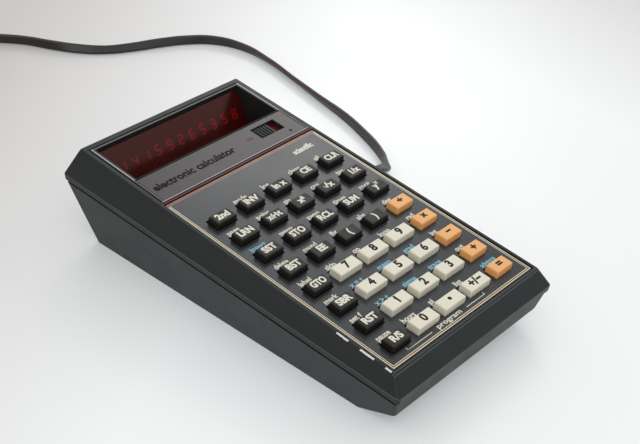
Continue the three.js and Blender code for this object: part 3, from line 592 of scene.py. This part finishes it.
def key_box(row, column):
    """The middle of a key on the deck and half the width of its cap, in millimetres."""
    low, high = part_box(f"key_r{row}c{column}")
    middle = deck_inverse @ ((low + high) / 2) / MM
    wide = row >= 5 and 2 <= column <= 4
    return middle, 5.2 if wide else 4.2


def sheet(x_cuts, y_cuts, level):
    """A flat grid of faces on the deck, cut along X and Y at the given places."""
    form = bmesh.new()
    corners = [(x_cuts[0], y_cuts[0]), (x_cuts[-1], y_cuts[0]), (x_cuts[-1], y_cuts[-1]),
               (x_cuts[0], y_cuts[-1])]
    form.faces.new([form.verts.new((x * MM, y * MM, level * MM)) for x, y in corners])
    for axis, cuts in ((0, x_cuts), (1, y_cuts)):
        for cut in cuts[1:-1]:
            point, normal = Vector(), Vector()
            point[axis], normal[axis] = cut * MM, 1
            bmesh.ops.bisect_plane(form, geom=form.verts[:] + form.edges[:] + form.faces[:],
                                   plane_co=point, plane_no=normal, dist=0.001 * MM)
    return form


def inside(face, x_low, x_high, y_low, y_high):
    """Whether the middle of a face lies over a rectangle of the deck."""
    middle = face.calc_center_median() / MM
    return x_low < middle.x < x_high and y_low < middle.y < y_high


def finished(form, name, width, segments=2):
    """The form with its sharp edges rounded, turned onto the deck, as a mesh."""
    rounded(form, sharp_edges(form, 20.0), width, segments)
    form.transform(deck_turn)
    return shaded(form, name)


holes = []
for row in key_rows:
    for column in key_columns:
        middle, half_width = key_box(row, column)
        holes.append((middle.x - half_width - key_clearance, middle.x + half_width + key_clearance,
                      middle.y - key_depth / 2 - key_clearance, middle.y + key_depth / 2 + key_clearance))
x_cuts = sorted({-plate_half, plate_half} | {round(edge, 3) for hole in holes for edge in hole[:2]})
y_cuts = sorted({plate_front, plate_back} | {round(edge, 3) for hole in holes for edge in hole[2:]})
plate_form = sheet(x_cuts, y_cuts, plate_face)
punched = [face for face in plate_form.faces if any(inside(face, *hole) for hole in holes)]
bmesh.ops.delete(plate_form, geom=punched, context="FACES")
bmesh.ops.solidify(plate_form, geom=plate_form.faces[:], thickness=plate_thickness * MM)
bmesh.ops.recalc_face_normals(plate_form, faces=plate_form.faces)
plate_mesh = finished(plate_form, "face_plate", 0.1, segments=1)
plate_finish = Finish("plate_satin", paint(32, 34, 35), 0.28, Specular_IOR_Level=0.5)
x, y, z = plate_finish.place(deck_tilt, deck_height)
middle = (plate_front + plate_back) / 2
half_length = (plate_back - plate_front) / 2


def frame_line(x, y, inset, width):
    """1 on a line of a width that runs round the plate, inset from its edge."""
    side = x.math("ABSOLUTE") - plate_half
    end = (y - middle).math("ABSOLUTE") - half_length
    return side.math("MAXIMUM", end).near(-inset, width / 2)


border = frame_line(x, y, 0.42, 0.36) + frame_line(x, y, 1.1, 0.28)
on_face = z.above(plate_face - 0.15, 0.05)
drift = plate_finish.noise(22.0, 2.0)
plate_colour = plate_finish.mix(drift, paint(28, 30, 31), paint(35, 37, 38))
gold = plate_finish.mix(y.above(plate_back - 1.4, 0.1), paint(212, 194, 160), paint(150, 92, 56))
plate_finish.put(Base_Color=plate_finish.mix(border * on_face, plate_colour, gold))
plate_finish.rough(0.26, 0.32, 10.0)
piece("face_plate", plate_mesh, [plate_finish], replaces=("keyboard_plate",))


def lettering(text, size, place, squeeze=1.0, bold=0.02, align="CENTER", widest=None):
    """A text as a thin closed mesh at a place in millimetres on the deck, no wider than widest."""
    depth = 0.03
    curve = bpy.data.curves.new("lettering", "FONT")
    curve.body = text
    curve.size = size * MM
    curve.extrude = depth / 2 * MM
    curve.offset = bold * size * MM
    curve.align_x = align
    curve.align_y = "CENTER"
    curve.resolution_u = 4
    thing = bpy.data.objects.new("lettering", curve)
    bpy.context.scene.collection.objects.link(thing)
    bpy.context.view_layer.update()
    mesh = bpy.data.meshes.new_from_object(thing.evaluated_get(bpy.context.evaluated_depsgraph_get()))
    bpy.data.objects.remove(thing)
    if widest:
        reach = max(vertex.co.x for vertex in mesh.vertices) - min(vertex.co.x for vertex in mesh.vertices)
        squeeze = min(squeeze, widest * MM / reach)
    mesh.transform(Matrix.Diagonal((squeeze, 1, 1, 1)))
    mesh.transform(deck_turn @ Matrix.Translation(Vector(place) * MM))
    return mesh


def gathered(name, meshes):
    """Several meshes as one, each with a material number; doubles are merged."""
    form = bmesh.new()
    for mesh, number in meshes:
        before = len(form.faces)
        form.from_mesh(mesh)
        form.faces.ensure_lookup_table()
        for face in form.faces[before:]:
            face.material_index = number
    bmesh.ops.remove_doubles(form, verts=form.verts, dist=0.0005 * MM)
    joined = bpy.data.meshes.new(name)
    form.to_mesh(joined)
    form.free()
    return joined


cream_ink = Finish("cream_ink", paint(214, 208, 190), 0.5)
blue_ink = Finish("blue_ink", paint(112, 176, 192), 0.5)
dark_ink = Finish("dark_ink", paint(30, 26, 22), 0.6, Specular_IOR_Level=0.2)
for ink in (cream_ink, blue_ink, dark_ink):
    ink.rough(0.5, 0.65, 1.0)

legends = [
    ["2nd", "INV", "ln x", "CE", "CLR"],
    ["LRN", "x↔t", "x²", "√x", "1/x"],
    ["SST", "STO", "RCL", "SUM", "yˣ"],
    ["BST", "EE", "(", ")", "÷"],
    ["GTO", "7", "8", "9", "×"],
    ["SBR", "4", "5", "6", "−"],
    ["RST", "1", "2", "3", "+"],
    ["R/S", "0", "•", "+/−", "="],
]
seconds = [
    ["", "mode", "log", "clear", "all"],
    ["page", "polar", "sin", "cos", "tan"],
    ["insert", "memory", "swap", "times", "root"],
    ["delete", "round", "fix", "abs", "deg"],
    ["label", "skip", "op", "loop", "rad"],
    ["mark", "x = t", "mean", "grad", "int"],
    ["set f", "x > t", "sigma", "trace", "out"],
    ["pause", "hours", "pi", "list", "advance"],
]
blue_seconds = {(3, 1), (6, 2), (6, 3), (6, 4), (7, 2), (7, 3), (7, 4), (8, 5)}


printing = []
for row in key_rows:
    for column in key_columns:
        label = seconds[row - 1][column - 1]
        centre, half_width = key_box(row, column)
        blue = (row, column) in blue_seconds
        if label:
            spot = (centre.x - half_width + 0.5, centre.y + key_depth / 2 + 1.75, plate_face)
            printed = lettering(label, 2.9, spot, bold=0.03, align="LEFT", widest=7.4 if blue else 6.0)
            printing.append((printed, 1 if blue else 0))
printing.append((lettering("scientific", 3.4, (24.4, 22.4, plate_face), bold=0.045, widest=9.4), 0))
printing.append((lettering("program", 2.6, (-5.4, -65.6, plate_face), squeeze=1.35), 0))
bracket = [(-26.0, -14.2, -66.0, -65.75), (3.4, 13.0, -66.0, -65.75),
           (-26.0, -25.75, -65.75, -64.9), (12.75, 13.0, -65.75, -64.9)]
for x_low, x_high, y_low, y_high in bracket:
    line = sheet([x_low, x_high], [y_low, y_high], plate_face + 0.015)
    bmesh.ops.solidify(line, geom=line.faces[:], thickness=0.03 * MM)
    printing.append((finished(line, "bracket", 0.004, segments=1), 0))
piece("plate_printing", gathered("plate_printing", printing), [cream_ink, blue_ink],
      slot="keyboard_plate")

# ---------------------------------------------------------------- keys
# Forty moulded caps with slightly rounded tops: black ones with pale legends, cream
# numerals and orange operators with dark ones. Each cap moves on its own.
painted_shade_level = -1.2  # below this the caps are painted black, as painted shade in the plate's holes
black_plastic = Finish("black_key_plastic", paint(23, 21, 14), 0.42, Specular_IOR_Level=0.3)
cream_plastic = Finish("cream_key_plastic", paint(214, 207, 186), 0.4)
orange_plastic = Finish("orange_key_plastic", paint(226, 164, 98), 0.4)
for finish in (black_plastic, cream_plastic, orange_plastic):
    finish.rough(0.34, 0.5, 3.0)
    finish.relief(finish.noise(0.2, 2.0), 0.005)
for row in key_rows:
    for column in key_columns:
        node = f"key_r{row}c{column}"
        centre, half_width = key_box(row, column)
        numeral = row >= 5 and 2 <= column <= 4
        operator = row >= 4 and column == 5
        plastic = cream_plastic if numeral else orange_plastic if operator else black_plastic
        slot = "cream_key" if numeral else "orange_key" if operator else "black_key"
        text = legends[row - 1][column - 1]
        pale_on_black = not (numeral or operator)
        size = 3.6 if pale_on_black else 4.3
        legend = lettering(text, size, (centre.x, centre.y, key_top), bold=0.045, widest=6.2)
        ink = cream_ink if pale_on_black else dark_ink
        parts = [(softened(node, 0.16, segments=3), 0), (legend, 1)]
        if text == "1":  # the numeral's flag
            parts.append((lettering("/", 1.5, (centre.x - 0.42, centre.y + 0.95, key_top), bold=0.06), 1))
        cap = gathered(node + "_cap", parts)
        cap.shade_smooth()
        cap.set_sharp_from_angle(angle=math.radians(40))
        # Painted shade: the cap's faces below the plate are given the black plastic, so the holes round
        # the keys look dark.
        for face in cap.polygons:
            if face.material_index == 0 and (deck_inverse @ face.center).z < painted_shade_level * MM:
                face.material_index = 2
        piece(node + "_cap", cap, [plastic, ink, black_plastic], body=node, slot=slot,
              replaces=(node,))

# ---------------------------------------------------------------- boards under the keys
# A sheet of snap domes lies on the keyboard board. The main board is held under that by a
# row of pins, and carries the processor chip on its lower side.
domes_finish = Finish("dome_sheet", paint(190, 190, 184), 0.3)
x, y, z = domes_finish.place(deck_tilt, deck_height)
dome_top = max((deck_inverse @ vertex.co).z for vertex in nodes["dome_sheet"].data.vertices) / MM
dome = z.above(dome_top - 0.22, 0.02)
domes_finish.put(
    Base_Color=domes_finish.mix(dome, paint(196, 196, 186), paint(176, 178, 180)), Metallic=dome)
domes_finish.rough(0.25, 0.4, 3.0)


def coat(names, finish):
    """Gives a finish to CAD parts that are shown as they are."""
    for name in names:
        nodes[name].data.materials.clear()
        nodes[name].data.materials.append(finish.material)


coat(["dome_sheet"], domes_finish)
board_finish = Finish("board_laminate", paint(38, 84, 50), 0.35)
x, y, z = board_finish.place(deck_tilt, deck_height)
tracks = ((x * 1.6).math("FRACT").near(0.5, 0.22)) * board_finish.noise(5.0).above(0.5, 0.02)
board_finish.put(Base_Color=board_finish.mix(tracks, paint(38, 84, 50), paint(84, 128, 74)))
board_finish.relief(tracks, 0.03)
coat(["keyboard_board", "main_board"], board_finish)
epoxy = Finish("chip_epoxy", paint(30, 30, 31), 0.5)
epoxy.relief(epoxy.noise(0.2), 0.01)
coat(["processor_chip"], epoxy)

# The chip's legs: two rows that come out of its long sides and turn up into the board.
pin_tin = Finish("pin_tin", paint(196, 196, 192), 0.35, Metallic=1.0)
pin_tin.rough(0.3, 0.45, 1.0)
chip_corners = [deck_inverse @ vertex.co / MM for vertex in nodes["processor_chip"].data.vertices]
chip_middle = (min(c.y for c in chip_corners) + max(c.y for c in chip_corners)) / 2
chip_half = max(c.y for c in chip_corners) - chip_middle
chip_under, chip_over = min(c.z for c in chip_corners), max(c.z for c in chip_corners)
leg_top, leg_foot = chip_over + 0.28, (chip_under + chip_over) / 2 - 0.15
leg_pitch, leg_count, leg_width = 2.54, 14, 0.5
leg_parts = [  # distance from the chip's side, thickness, foot and top
    (0.35, 0.7, leg_foot, leg_foot + 0.3), (0.75, 0.25, leg_foot, leg_top),
]
leg_form = bmesh.new()
for side in (-1, 1):
    for leg in range(leg_count):
        along = (leg - (leg_count - 1) / 2) * leg_pitch
        for out, thick, low, high in leg_parts:
            block(leg_form, (leg_width, thick, high - low),
                  (along, chip_middle + side * (chip_half + out), (low + high) / 2))
piece("chip_legs", finished(leg_form, "chip_legs", 0.04, segments=1), [pin_tin],
      slot="chip")

# ---------------------------------------------------------------- display end
# A moulded frame with a thin bright line round it, the dark well in it, a dark red filter
# window, and the row of red digits behind that on its own board.
bezel_front, bezel_back = 29.55, 65.3  # along the deck
bezel_top = 0.15  # over the deck
strip_seat = (-34.85, 34.85, 29.95, 43.75)  # x and y on the deck
strip_under = -0.85
switch_pocket = (16.9, 28.5, 34.9, 41.1)
switch_under = -2.4
well = (-33.8, 33.8, 43.99, 64.36)
window_foot = Vector((0, 55.4, 20.39)) - Vector((0, 0, deck_height))  # front face of the window
window_head = Vector((0, 64.2, 33.84)) - Vector((0, 0, deck_height))
to_deck = Matrix.Rotation(-deck_tilt, 3, "X")
window_foot, window_head = to_deck @ window_foot, to_deck @ window_head

x_cuts = [-bezel_half, strip_seat[0], well[0], *switch_pocket[:2], well[1], strip_seat[1], bezel_half]
y_cuts = [bezel_front, strip_seat[2], *switch_pocket[2:], strip_seat[3], well[2], well[3], bezel_back]
bezel_form = sheet(x_cuts, y_cuts, bezel_top)


def sunk(form, area, level):
    """Sinks the faces over an area of the deck to a level and returns them, with walls round them."""
    faces = [face for face in form.faces if inside(face, *area) and abs(face.normal.z) > 0.9]
    made = bmesh.ops.extrude_face_region(form, geom=faces)["geom"]
    bmesh.ops.delete(form, geom=faces, context="FACES")
    floor = [part for part in made if isinstance(part, bmesh.types.BMFace)]
    for corner in {corner for face in floor for corner in face.verts}:
        corner.co.z = level * MM
    return floor


sunk(bezel_form, strip_seat, strip_under)
sunk(bezel_form, switch_pocket, switch_under)
well_floor = sunk(bezel_form, well, -0.4)
# The floor slopes down from the strip to the foot of the window, and the window's opening
# rises from there to the head.
bmesh.ops.bisect_plane(bezel_form, geom=list({part for face in well_floor
                                              for part in (face, *face.edges, *face.verts)}),
                       plane_co=(0, window_foot.y * MM, 0), plane_no=(0, 1, 0), dist=0.001 * MM)
for line, level in ((window_foot.y, window_foot.z), (well[3], window_head.z)):
    for vertex in bezel_form.verts:
        if abs(vertex.co.y - line * MM) < 0.01 * MM and vertex.co.z < -0.3 * MM:
            vertex.co.z = level * MM
opening = [face for face in bezel_form.faces if inside(face, well[0], well[1], window_foot.y, well[3])
           and face.normal.z > 0.2]
bmesh.ops.delete(bezel_form, geom=opening, context="FACES")
bmesh.ops.recalc_face_normals(bezel_form, faces=bezel_form.faces)
if sum(face.normal.z * face.calc_area() for face in bezel_form.faces) < 0:
    bmesh.ops.reverse_faces(bezel_form, faces=bezel_form.faces)
bmesh.ops.solidify(bezel_form, geom=bezel_form.faces[:], thickness=0.9 * MM)
bezel_mesh = finished(bezel_form, "display_bezel", 0.14)

frame_finish = Finish("display_frame", paint(30, 31, 30), 0.45, Specular_IOR_Level=0.35)
x, y, z = frame_finish.place(deck_tilt, deck_height)
inner_side = x.math("ABSOLUTE").near(34.75, 0.28)
# Painted shade: along the back the bright line is painted at about a third of its strength.
inner_back_shaded = y.near(64.75, 0.22) * 0.35
inner_front = y.near(29.8, 0.26)
bead = inner_side.math("MAXIMUM", inner_back_shaded).math("MAXIMUM", inner_front)
bright = z.above(-0.05, 0.08) * bead
switch_floor = x.near(22.7, 6.2) * y.near(38.0, 3.4) * (0.0 - z).above(1.6, 0.2)
colour = frame_finish.mix(bright, paint(24, 25, 24), paint(146, 144, 138))
frame_finish.put(
    Base_Color=frame_finish.mix(switch_floor, colour, paint(96, 20, 16)),
    Roughness=0.5 - bright * 0.15)
frame_finish.relief(frame_finish.noise(0.25), 0.006)
piece("display_bezel", bezel_mesh, [frame_finish], replaces=("display_frame",))

# The window is a thick moulded filter with its edges eased; the digits glow through it.
window_finish = Finish("window_filter", paint(80, 16, 10), 0.2, Transmission_Weight=0.5, IOR=1.49,
                       Specular_IOR_Level=0.18, Specular_Tint=(1.0, 0.72, 0.6, 1.0))
haze = window_finish.noise(18.0, 2.0)
window_finish.put(Base_Color=window_finish.mix(haze, paint(86, 20, 14), paint(70, 15, 10)))
piece("window_filter", softened("display_window", 0.15), [window_finish], replaces=("display_window",))

# The digit module: a lens bar on its own board, with the lit strokes just over it.
window_along = (window_head - window_foot).normalized()
window_out = Vector((0, -window_along.z, window_along.y))  # out of the window's face
led_body = Finish("led_bar", paint(52, 12, 10), 0.3)
led_body.rough(0.25, 0.4, 2.0)
led_glow = Finish("led_segment", paint(150, 10, 8), 0.4, Emission_Strength=6.0)
led_glow.put(Emission_Color=led_glow.mix(led_glow.noise(1.0), (1.0, 0.04, 0.02), (0.8, 0.03, 0.01)))
piece("led_module", softened("led_display", 0.2), [led_body], replaces=("led_display",))
digit_count = 12
digit_pitch = 5.4
digit_high, digit_wide, stroke = 4.0, 2.5, 0.65
digit_face = (window_head + window_foot) / 2 - window_out * 1.62  # just over the lens bar
strokes = {  # a at the top, b to f clockwise from it, g in the middle: place, and whether it lies flat
    "a": (0, 0.5, True), "b": (0.5, 0.25, False), "c": (0.5, -0.25, False), "d": (0, -0.5, True),
    "e": (-0.5, -0.25, False), "f": (-0.5, 0.25, False), "g": (0, 0, True),
}
lit = {  # strokes of each numeral
    "1": "bc", "2": "agdbe", "3": "agdbc", "4": "gfbc", "5": "agdfc", "6": "agdfec", "8": "agdfbec",
    "9": "agdfbc",
}
digit_form = bmesh.new()
reading = "314159265358"
for place, numeral in enumerate(reading):
    middle_x = (place - (digit_count - 1) / 2) * digit_pitch
    for letter in lit[numeral]:
        across, up, flat = strokes[letter]
        size = (digit_wide - stroke, stroke) if flat else (stroke, digit_high / 2 - stroke)
        block(digit_form, (*size, 0.06), (middle_x + across * (digit_wide - stroke),
                                          up * (digit_high - stroke), 0))
stand = Matrix((Vector((1, 0, 0)), window_along, window_out)).transposed().to_4x4()
digit_form.transform(deck_turn @ Matrix.Translation(digit_face * MM) @ stand)
digit_mesh = bpy.data.meshes.new("led_digits")
digit_form.to_mesh(digit_mesh)
piece("led_digits", digit_mesh, [led_glow], slot="led_display")

# ---------------------------------------------------------------- name strip and switch
# Brushed warm grey foil with dark lettering, laid in the front of the display frame and cut
# out for the slide switch, which moves over a red floor.
strip_finish = Finish("strip_foil", paint(66, 60, 60), 0.34, Specular_IOR_Level=0.4)
brushing = strip_finish.noise(0.35, 3.0, stretch=(0.02, 1, 1))
strip_finish.put(Base_Color=strip_finish.mix(brushing, paint(46, 39, 38), paint(55, 48, 47)))
strip_finish.relief(brushing, 0.006)
piece("name_foil", softened("name_strip", 0.08, segments=1), [strip_finish], replaces=("name_strip",))
strip_face = 0.05
strip_ink = Finish("strip_ink", paint(16, 8, 8), 0.65, Specular_IOR_Level=0.1)
mark_ink = Finish("mark_ink", paint(110, 48, 50), 0.65, Specular_IOR_Level=0.2)
for ink in (strip_ink, mark_ink):
    ink.rough(0.55, 0.7, 1.0)
strip_text = lettering("electronic calculator", 4.5, (-33.0, 36.4, strip_face), bold=0.03, align="LEFT",
                       widest=38.0)
mark = lettering("on", 2.6, (13.2, 37.4, strip_face), bold=0.03)
dot = lettering("•", 4.0, (28.9, 32.2, strip_face), bold=0.03)
piece("strip_printing", gathered("strip_printing", [(strip_text, 0), (dot, 0), (mark, 1)]),
      [strip_ink, mark_ink], slot="name_strip")

slider_finish = Finish("slider_plastic", paint(36, 44, 42), 0.5, Specular_IOR_Level=0.35)
slider_finish.rough(0.44, 0.56, 2.0)
piece("switch_cap", softened("switch_slider", 0.12), [slider_finish], body="power_switch",
      replaces=("switch_slider",))

# ---------------------------------------------------------------- battery tray
# The tray closes the bottom and the back of the case and carries three sleeved cells, with
# steel ends and welded strips. Two brass leaves in the case press on them.
tray_finish = Finish("tray_plastic", paint(56, 60, 57), 0.5)
tray_finish.rough(0.44, 0.56, 7.0)
tray_finish.relief(tray_finish.noise(0.28), 0.018)
piece("battery_drawer", softened("battery_tray", 0.3), [tray_finish], body="battery_pack",
      replaces=("battery_tray",))
sleeve = Finish("cell_sleeve", paint(40, 84, 128), 0.3)
x, y, z = sleeve.place()
bands = x.math("ABSOLUTE").near(19.5, 0.7)
sleeve.put(Base_Color=sleeve.mix(bands, paint(40, 84, 128), paint(206, 204, 190)))
sleeve.rough(0.22, 0.36, 5.0)
cell_steel = Finish("cell_steel", paint(186, 186, 184), 0.3, Metallic=1.0)
cell_steel.rough(0.22, 0.36, 2.0)
cells_low, cells_high = (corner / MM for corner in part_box("battery_cells"))
cell_count = 3
cell_radius = (cells_high.z - cells_low.z) / 2
cell_pitch = (cells_high.y - cells_low.y - 2 * cell_radius) / (cell_count - 1)
cell_end = cells_high.x
cell_profile = [  # from the flat end to the end with the cap, along X
    (-cell_end + 0.3, 0), (-cell_end + 0.3, 5.4), (-cell_end + 0.25, 5.6), (-cell_end + 0.2, 6.3),
    (-cell_end + 0.5, cell_radius - 0.2), (-cell_end + 1.0, cell_radius), (cell_end - 2.0, cell_radius),
    (cell_end - 1.5, cell_radius - 0.2), (cell_end - 1.2, 6.3), (cell_end - 1.3, 5.4),
    (cell_end - 1.3, 2.7), (cell_end - 0.4, 2.5), (cell_end - 0.2, 2.2), (cell_end - 0.2, 0),
]
strip_width = 4.0
cell_form = bmesh.new()
for cell in range(cell_count):
    one = turned(cell_profile, 40)
    if cell % 2:
        bmesh.ops.rotate(one, matrix=Matrix.Rotation(math.pi, 3, "Z"), verts=one.verts)
    for face in one.faces:
        reach = max(Vector((0, *vertex.co.yz)).length for vertex in face.verts) / MM
        face.material_index = 1 if reach < 5.5 else 0
    bmesh.ops.translate(one, verts=one.verts, vec=(
        0, (cells_low.y + cell_radius + cell * cell_pitch) * MM, (cells_low.z + cell_radius) * MM))
    one_mesh = bpy.data.meshes.new("cell")
    one.to_mesh(one_mesh)
    cell_form.from_mesh(one_mesh)
for number, side in ((0, 1), (1, -1)):  # welded strips that join the cells end to end
    strip = block(cell_form, (0.15, cell_pitch + strip_width, strip_width), (
        side * (cell_end - 0.1), cells_low.y + cell_radius + (number + 0.5) * cell_pitch,
        cells_low.z + cell_radius))
    for face in {face for corner in strip for face in corner.link_faces}:
        face.material_index = 1
piece("cell_pack", shaded(cell_form, "cell_pack", 40.0), [sleeve, cell_steel], body="battery_pack",
      replaces=("battery_cells",))
contact_finish = Finish("contact_block", paint(30, 30, 30), 0.45)
x, y, z = contact_finish.place()
contact_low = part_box("contact_block")[0] / MM
leaf = y.above(contact_low.y + 2.45, 0.03)
contact_finish.put(
    Base_Color=contact_finish.mix(leaf, paint(30, 30, 30), paint(206, 180, 120)), Metallic=leaf)
contact_finish.rough(0.3, 0.45, 2.0)
coat(["contact_block"], contact_finish)
# The jack in the right wall is black with a bright lining.
jack_finish = Finish("jack_plastic", paint(24, 24, 25), 0.4)
x, y, z = jack_finish.place()
out_y, out_z = y - plug_axis.y, z - plug_axis.z
lining = 1.0 - (out_y * out_y + out_z * out_z).above(4.3, 0.3)
jack_finish.put(Base_Color=jack_finish.mix(lining, paint(24, 24, 25), paint(200, 198, 190)),
                Metallic=lining)
jack_finish.rough(0.35, 0.5, 2.0)
coat(["dc_jack"], jack_finish)
